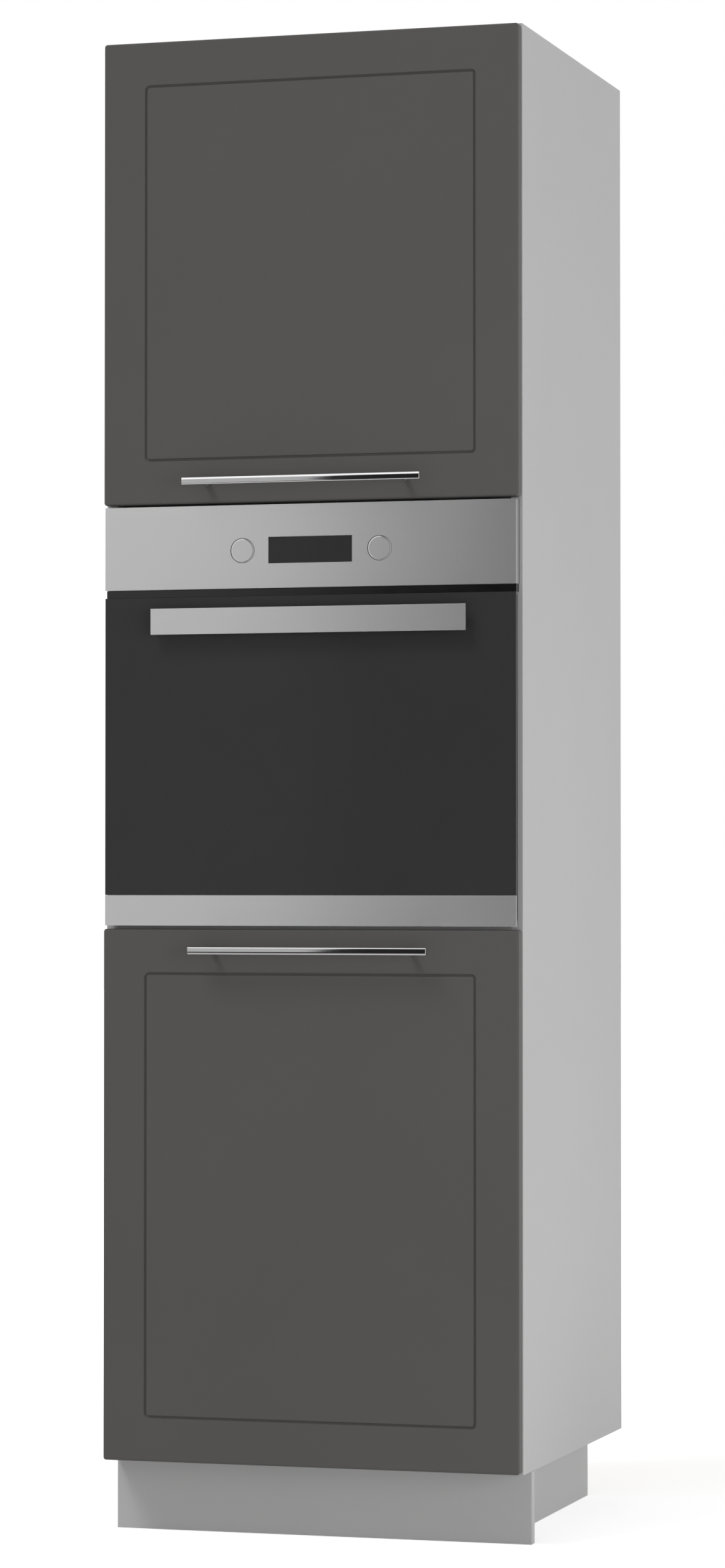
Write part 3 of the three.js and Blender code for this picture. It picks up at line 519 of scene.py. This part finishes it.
def rounded_loop(build, low, high, corner, y):
    """Vertices of a rounded rectangle in the front view; low and high are its (x, z) corners."""
    made = []
    centres = [
        (high[0] - corner, low[1] + corner, -90),
        (high[0] - corner, high[1] - corner, 0),
        (low[0] + corner, high[1] - corner, 90),
        (low[0] + corner, low[1] + corner, 180),
    ]
    for x, z, start in centres:
        for step in range(CORNER_STEPS + 1):
            angle = math.radians(start + 90 * step / CORNER_STEPS)
            made.append(build.verts.new((x + corner * math.cos(angle), y, z + corner * math.sin(angle))))
    return made


def bridge(build, loops):
    """Faces between closed loops of equal length, one after the other, and one at each end."""
    for one, other in zip(loops, loops[1:]):
        count = len(one)
        for i in range(count):
            build.faces.new((one[i], one[(i + 1) % count], other[(i + 1) % count], other[i]))
    build.faces.new(loops[0])
    build.faces.new(loops[-1])


def arc(steps, start=0.0, end=90.0):
    """Angles in radians, in even steps between two angles in degrees."""
    return [math.radians(start + (end - start) * i / steps) for i in range(steps + 1)]


def door_leaf(node):
    """A door leaf with rounded edges, a milled groove and holes for its hinge cups."""
    low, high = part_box(node)
    back, front = high.y, low.y
    section = [(LEAF_BACK_ROUND, LEAF_CORNER, back), (0.0, LEAF_CORNER, back - LEAF_BACK_ROUND)]
    for a in arc(LEAF_STEPS):
        section.append((LEAF_ROUND * (1 - math.cos(a)), LEAF_CORNER, front + LEAF_ROUND * (1 - math.sin(a))))
    half = GROOVE_WIDTH / 2
    section.append((GROOVE_INSET - GROOVE_LIP, GROOVE_CORNER + GROOVE_LIP, front))
    for a in arc(GROOVE_STEPS, 0, 180):
        across = half * (1 - math.cos(a))
        corner = GROOVE_CORNER - across
        section.append((GROOVE_INSET + across, corner, front + GROOVE_DEPTH * math.sin(a)))
    section.append((GROOVE_INSET + GROOVE_WIDTH + GROOVE_LIP, GROOVE_CORNER - GROOVE_WIDTH, front))
    build = bmesh.new()
    loops = []
    for inset, corner, y in section:
        near_edge = inset < GROOVE_INSET / 2
        corner = max(corner - inset if near_edge else corner, LEAST_CORNER)
        loops.append(rounded_loop(build, (low.x + inset, low.z + inset), (high.x - inset, high.z - inset), corner, y))
    bridge(build, loops)
    leaf = finished_mesh(build, node + "_leaf")
    made = piece(node + "_leaf", leaf, node)
    cut_cup_holes(made, node.split("_")[0])
    return made


def carve(made, build):
    """Cuts the solids of a bmesh out of a piece."""
    cutter = bpy.data.objects.new("cutter", finished_mesh(build, "cutter"))
    bpy.context.scene.collection.objects.link(cutter)
    modifier = made.modifiers.new("cut", "BOOLEAN")
    modifier.operation = "DIFFERENCE"
    modifier.solver = "EXACT"
    modifier.object = cutter
    bpy.context.view_layer.update()
    evaluated = made.evaluated_get(bpy.context.evaluated_depsgraph_get())
    carved = bpy.data.meshes.new_from_object(evaluated)
    made.modifiers.clear()
    made.data = carved
    smooth_by_angle(carved)
    add_weighted_normals(made)
    bpy.data.objects.remove(cutter)


def add_rod(build, radius, length, middle, axis, sides):
    """A closed rod along X or Y in a bmesh."""
    turn = Matrix.Rotation(math.pi / 2, 4, "Y" if axis == "X" else "X")
    bmesh.ops.create_cone(
        build, cap_ends=True, segments=sides, radius1=radius, radius2=radius, depth=length,
        matrix=Matrix.Translation(middle) @ turn,
    )


def cut_cup_holes(leaf, place):
    """Cuts the round holes of the hinge cups into the back of a door leaf."""
    build = bmesh.new()
    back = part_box(place + "_door")[1].y
    for end in ("low", "high"):
        low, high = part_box(f"{place}_hinge_cup_{end}")
        depth = back - low.y + CUP_HOLE_CLEAR
        middle = Vector(((low.x + high.x) / 2, back - depth / 2 + MM, (low.z + high.z) / 2))
        add_rod(build, (high.x - low.x) / 2 + CUP_HOLE_CLEAR, depth + 2 * MM, middle, "Y", CUP_HOLE_SIDES)
    carve(leaf, build)


def pin_hole_middles(place, row, side):
    """Middles of one column of shelf-pin holes, in steps from the pin in use, clear of the hinge arms."""
    low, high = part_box(f"{place}_shelf_pin_{row}_{side}")
    y, pin_z = (low.y + high.y) / 2, (low.z + high.z) / 2
    below, above = {"lower": ("bottom_panel", "oven_shelf"), "upper": ("oven_top_shelf", "top_panel")}[place]
    bottom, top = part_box(below)[1].z + PIN_HOLE_MARGIN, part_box(above)[0].z - PIN_HOLE_MARGIN
    arms = [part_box(f"{place}_hinge_arm_{end}") for end in ("low", "high")] if side == "left" else []
    steps = range(math.ceil((bottom - pin_z) / PIN_HOLE_STEP), math.floor((top - pin_z) / PIN_HOLE_STEP) + 1)
    found = []
    for step in steps:
        z = pin_z + step * PIN_HOLE_STEP
        hidden = any(
            a.z - ARM_CLEAR_UP < z < b.z + ARM_CLEAR_UP and a.y - ARM_CLEAR_ALONG < y < b.y + ARM_CLEAR_ALONG
            for a, b in arms
        )
        if step != 0 and not hidden:
            found.append((y, z))
    return found


def drilled_side(side):
    """A side panel with columns of shelf-pin holes in its inner face."""
    node = "side_panel_" + side
    made = refined(node, EDGES["carcass_board"])
    low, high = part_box(node)
    inner = high.x if side == "left" else low.x
    build = bmesh.new()
    for place in ("upper", "lower"):
        for row in ("front", "rear"):
            for y, z in pin_hole_middles(place, row, side):
                add_rod(build, PIN_HOLE_RADIUS, 2 * PIN_HOLE_DEPTH, Vector((inner, y, z)), "X", PIN_HOLE_SIDES)
    carve(made, build)


def turned(name, outline, steps, centre, node, material=None):
    """A piece turned round a line along Y from [radius, y] pairs."""
    build = bmesh.new()
    loops = []
    for radius, along in outline:
        loop = []
        for i in range(steps):
            angle = 2 * math.pi * i / steps
            offset = Vector((radius * math.cos(angle), along, radius * math.sin(angle)))
            loop.append(build.verts.new(centre + offset))
        loops.append(loop)
    bridge(build, loops)
    return piece(name, finished_mesh(build, name), node, material)


def handle_bar(node):
    """A bar with a flat back, a slightly crowned front, rounded front edges and eased ends."""
    low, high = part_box(node)
    half = (high.z - low.z) / 2
    middle = (high.z + low.z) / 2
    corner_z = half - BAR_CORNER
    reach = BAR_CROWN - BAR_CORNER
    corner_y = low.y + BAR_CROWN - math.sqrt(reach * reach - corner_z * corner_z)
    turn = math.asin(corner_z / reach)
    upper = [(high.y, half - BAR_BACK_EDGE), (high.y - BAR_BACK_EDGE, half)]
    upper += [
        (corner_y - BAR_CORNER * math.cos(a), corner_z + BAR_CORNER * math.sin(a))
        for a in arc(BAR_STEPS, 90, math.degrees(turn))
    ]
    upper += [
        (low.y + BAR_CROWN * (1 - math.cos(a)), BAR_CROWN * math.sin(a))
        for a in arc(BAR_STEPS, math.degrees(turn), 0)[1:-1]
    ]
    section = upper + [(low.y, 0.0)] + [(y, -z) for y, z in reversed(upper)]
    centre_y = (low.y + high.y) / 2
    build = bmesh.new()
    loops = []
    for x, shrink in ((low.x, BAR_END_EDGE), (low.x + BAR_END_EDGE, 0.0), (high.x - BAR_END_EDGE, 0.0),
                      (high.x, BAR_END_EDGE)):
        share_y = 1 - shrink / ((high.y - low.y) / 2)
        share_z = 1 - shrink / half
        loops.append([
            build.verts.new((x, centre_y + (y - centre_y) * share_y, middle + z * share_z)) for y, z in section
        ])
    bridge(build, loops)
    return piece(node + "_polished", finished_mesh(build, node + "_polished"), node)


def handle_post(node):
    """A round post with a small foot against the door."""
    low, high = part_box(node)
    centre = Vector(((low.x + high.x) / 2, 0.0, (low.z + high.z) / 2))
    radius = (high.x - low.x) / 2
    foot = POST_FOOT
    outline = [
        (radius - foot, high.y),
        (radius, high.y - foot / 2),
        (radius, high.y - 3 * foot),
        (radius - foot, high.y - 4 * foot),
        (radius - foot, low.y + foot),
        (radius - 1.5 * foot, low.y),
    ]
    return turned(node + "_turned", outline, POST_SIDES, centre, node, POST_FINISH)


def knob(node):
    """A flush knob: a turned cap with a bright chamfer round its face and a socket for its carrier's pin."""
    low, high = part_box(node)
    centre = Vector(((low.x + high.x) / 2, 0.0, (low.z + high.z) / 2))
    radius = (high.x - low.x) / 2
    chamfer = KNOB_CHAMFER
    outline = [
        (SOCKET_RADIUS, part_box(node.replace("knob", "knob_carrier"))[0].y - SOCKET_CLEAR),
        (SOCKET_RADIUS, high.y),
        (radius - chamfer, high.y),
        (radius, high.y - chamfer),
        (radius, low.y + chamfer),
        (radius - chamfer * 0.4, low.y + chamfer * 0.35),
        (radius - chamfer, low.y),
        (radius - 2 * chamfer, low.y),
    ]
    return turned(node + "_cap", outline, KNOB_SIDES, centre, node)


def extruded_along_x(node, section, ends, name, material=None):
    """A piece of one (y, z) section between two x ends, with its edges eased."""
    build = bmesh.new()
    loops = [[build.verts.new((x, y, z)) for y, z in section] for x in ends]
    bridge(build, loops)
    soften(build, FINE_EDGE)
    return piece(node + name, finished_mesh(build, node + name), node, material)


def oven_shelf():
    """The shelf under the oven, with a thin lip along its front that closes the gap under the oven door."""
    low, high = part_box("oven_shelf")
    back_of_lip = low.y + SHELF_LIP_THICKNESS
    section = [
        (low.y, low.z),
        (high.y, low.z),
        (high.y, high.z),
        (back_of_lip, high.z),
        (back_of_lip, high.z + SHELF_LIP_RISE),
        (low.y, high.z + SHELF_LIP_RISE),
    ]
    return extruded_along_x("oven_shelf", section, (low.x, high.x), "_lipped")


def vent_strip():
    """The glossy strip between control panel and oven door, drawn out almost to their ends."""
    node = "oven_vent_strip"
    build = cad_bmesh(node)
    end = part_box(node)[1].x
    for vertex in build.verts:
        if abs(vertex.co.x) > end - MM:
            vertex.co.x += math.copysign(VENT_REACH, vertex.co.x)
    soften(build, SHEET_EDGE)
    return piece(node + "_moulded", finished_mesh(build, node + "_moulded"), node, VENT_FINISH)


def build_carcass():
    oven_shelf()
    for side in ("left", "right"):
        drilled_side(side)


def build_fronts():
    vent_strip()
    for place in ("upper", "lower"):
        door_leaf(place + "_door")
        handle_bar(place + "_handle_bar")
        for side in ("left", "right"):
            handle_post(f"{place}_handle_post_{side}")
    for side in ("left", "right"):
        knob("knob_" + side)


EDGES = {
    "carcass_board": BOARD_EDGE,
    "back_board": FINE_EDGE,
    "plinth_board": BOARD_EDGE,
    "steel": SHEET_EDGE,
    "black_glass": GLASS_EDGE,
    "black_plastic": SHEET_EDGE,
    "zinc_steel": FINE_EDGE,
    "enamel": FINE_EDGE,
    "leg_plastic": SHEET_EDGE,
    "seal_rubber": SHEET_EDGE,
    "chrome": FINE_EDGE,
}


def build_rest():
    """Every CAD node that has no piece of its own yet, with its edges rounded, save the hinge cups and arms, which
    keep their CAD form.
    """
    done = {n for o in bpy.data.objects if "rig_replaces" in o for n in o["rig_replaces"]}
    for node in sorted(NODES):
        if node in done:
            continue
        if "_hinge_cup_" in node or "_hinge_arm_" in node:
            unrounded(node)
        else:
            refined(node, EDGES[SLOT_OF[node]], material=NODE_FINISHES.get(node))


# ---------------------------------------------------------------- studio


def add_camera():
    data = bpy.data.cameras.new("camera")
    data.sensor_width = SENSOR
    data.lens = FOCAL_PIXELS * SENSOR / PHOTO_HEIGHT
    data.clip_end = CAMERA_REACH
    made = bpy.data.objects.new("camera", data)
    made.location = CAMERA_PLACE
    made.rotation_euler = (math.pi / 2 + CAMERA_PITCH, 0.0, CAMERA_YAW)
    bpy.context.scene.collection.objects.link(made)
    bpy.context.scene.camera = made


def area_light(name, place, aim, size, power):
    data = bpy.data.lights.new(name, "AREA")
    data.shape = "RECTANGLE"
    data.size, data.size_y = size
    data.energy = power
    made = bpy.data.objects.new(name, data)
    made.location = place
    made.rotation_euler = (Vector(aim) - Vector(place)).to_track_quat("-Z", "Y").to_euler()
    made.visible_camera = made.visible_glossy = False
    bpy.context.scene.collection.objects.link(made)


def looked_at(tree):
    """1 for what the camera, a mirror or clear glass looks at, 0 for light that falls on a matt surface."""
    path = tree.nodes.new("ShaderNodeLightPath")
    found = path.outputs["Is Camera Ray"]
    for other in ("Is Glossy Ray", "Is Transmission Ray"):
        larger = tree.nodes.new("ShaderNodeMath")
        larger.operation = "MAXIMUM"
        tree.links.new(found, larger.inputs[0])
        tree.links.new(path.outputs[other], larger.inputs[1])
        found = larger.outputs[0]
    return found


def flat_sheet(name, corners):
    build = bmesh.new()
    build.faces.new([build.verts.new(corner) for corner in corners])
    mesh = bpy.data.meshes.new(name)
    build.to_mesh(mesh)
    build.free()
    made = bpy.data.objects.new(name, mesh)
    bpy.context.scene.collection.objects.link(made)
    material = bpy.data.materials.new(name)
    material.use_nodes = True
    material.node_tree.nodes.clear()
    mesh.materials.append(material)
    return made, material.node_tree


def eased(tree, value, start, end, low, high):
    """A number that eases from low to high as a value goes from start to end."""
    made = tree.nodes.new("ShaderNodeMapRange")
    made.interpolation_type = "SMOOTHSTEP"
    tree.links.new(value, made.inputs["Value"])
    for name, number in (("From Min", start), ("From Max", end), ("To Min", low), ("To Max", high)):
        made.inputs[name].default_value = number
    return made.outputs["Result"]


def add_floor():
    """A pale floor, pure white away from the unit, that keeps the unit's shadow round its foot."""
    half = FLOOR_SIZE / 2
    floor, tree = flat_sheet("floor", ((-half, -half, 0), (half, -half, 0), (half, half, 0), (-half, half, 0)))
    output = tree.nodes.new("ShaderNodeOutputMaterial")
    both = tree.nodes.new("ShaderNodeAddShader")
    paint = tree.nodes.new("ShaderNodeBsdfDiffuse")
    paint.inputs["Color"].default_value = srgb(FLOOR_PAINT)
    glow = tree.nodes.new("ShaderNodeEmission")
    place = tree.nodes.new("ShaderNodeTexCoord")
    reach = tree.nodes.new("ShaderNodeVectorMath")
    reach.operation = "LENGTH"
    tree.links.new(place.outputs["Object"], reach.inputs[0])
    level = eased(tree, reach.outputs["Value"], FLOOR_SHADE_NEAR, FLOOR_SHADE_FAR, FLOOR_GLOW, 1.0)
    seen = tree.nodes.new("ShaderNodeMath")
    seen.operation = "MULTIPLY"
    tree.links.new(looked_at(tree), seen.inputs[0])
    tree.links.new(level, seen.inputs[1])
    tree.links.new(seen.outputs[0], glow.inputs["Strength"])
    tree.links.new(paint.outputs[0], both.inputs[0])
    tree.links.new(glow.outputs[0], both.inputs[1])
    tree.links.new(both.outputs[0], output.inputs["Surface"])


def add_cards():
    """Two large cards behind and under the camera that only metal and glass reflect: pale, with a dark stripe
    where the right half of the front mirrors them, a bright top and a light foot."""
    left, right = CARD_SPAN_X
    upright = ((left, CARD_Y, 0), (right, CARD_Y, 0), (right, CARD_Y, CARD_TOP), (left, CARD_Y, CARD_TOP))
    flat_corners = ((left, CARD_Y), (right, CARD_Y), (right, CARD_NEAR_Y), (left, CARD_NEAR_Y))
    flat = [(x, y, CARD_LIFT) for x, y in flat_corners]
    for name, corners in (("upright_card", upright), ("flat_card", flat)):
        card, tree = flat_sheet(name, corners)
        card.visible_camera = card.visible_diffuse = card.visible_shadow = False
        output = tree.nodes.new("ShaderNodeOutputMaterial")
        glow = tree.nodes.new("ShaderNodeEmission")
        place = tree.nodes.new("ShaderNodeTexCoord")
        split = tree.nodes.new("ShaderNodeSeparateXYZ")
        tree.links.new(place.outputs["Object"], split.inputs[0])
        x, y, z = split.outputs
        level = eased(tree, x, CARD_DARK_FROM_X, CARD_DARK_FROM_X + CARD_EDGE, CARD_GREY, CARD_DARK)
        high = eased(tree, x, CARD_DARK_FROM_X_HIGH, CARD_DARK_FROM_X_HIGH + CARD_EDGE, CARD_BRIGHT, CARD_DARK)
        foot = eased(tree, x, CARD_DARK_FROM_X_HIGH, CARD_DARK_FROM_X_HIGH + CARD_EDGE, CARD_FOOT, CARD_FOOT_DARK)
        for value, start, other in ((z, CARD_BRIGHT_FROM_Z, high), (y, CARD_FOOT_FROM_Y, foot)):
            blend = tree.nodes.new("ShaderNodeMix")
            tree.links.new(eased(tree, value, start, start + CARD_EDGE, 0.0, 1.0), blend.inputs["Factor"])
            tree.links.new(level, blend.inputs[2])
            tree.links.new(other, blend.inputs[3])
            level = blend.outputs[0]
        past_dark = tree.nodes.new("ShaderNodeMix")
        ease = eased(tree, x, CARD_DARK_TO_X, CARD_DARK_TO_X + CARD_DARK_FADE, 0.0, 1.0)
        tree.links.new(ease, past_dark.inputs["Factor"])
        tree.links.new(level, past_dark.inputs[2])
        past_dark.inputs[3].default_value = CARD_GREY
        tree.links.new(past_dark.outputs[0], glow.inputs["Strength"])
        tree.links.new(glow.outputs[0], output.inputs["Surface"])


def add_world():
    """A plain pale studio all round, white where the camera or a mirror looks past the unit."""
    world = bpy.data.worlds.new("studio")
    bpy.context.scene.world = world
    world.use_nodes = True
    tree = world.node_tree
    tree.nodes.clear()
    output = tree.nodes.new("ShaderNodeOutputWorld")
    mix = tree.nodes.new("ShaderNodeMixShader")
    tree.links.new(looked_at(tree), mix.inputs["Fac"])
    for place, strength in ((1, WORLD_LEVEL), (2, 1.0)):
        glow = tree.nodes.new("ShaderNodeBackground")
        glow.inputs["Color"].default_value = (1, 1, 1, 1)
        glow.inputs["Strength"].default_value = strength
        tree.links.new(glow.outputs[0], mix.inputs[place])
    tree.links.new(mix.outputs[0], output.inputs["Surface"])


add_camera()
build_carcass()
build_fronts()
build_rest()
add_floor()
add_cards()
add_world()
for lamp in LAMPS:
    area_light(*lamp)
bpy.context.scene.view_settings.view_transform = "Standard"
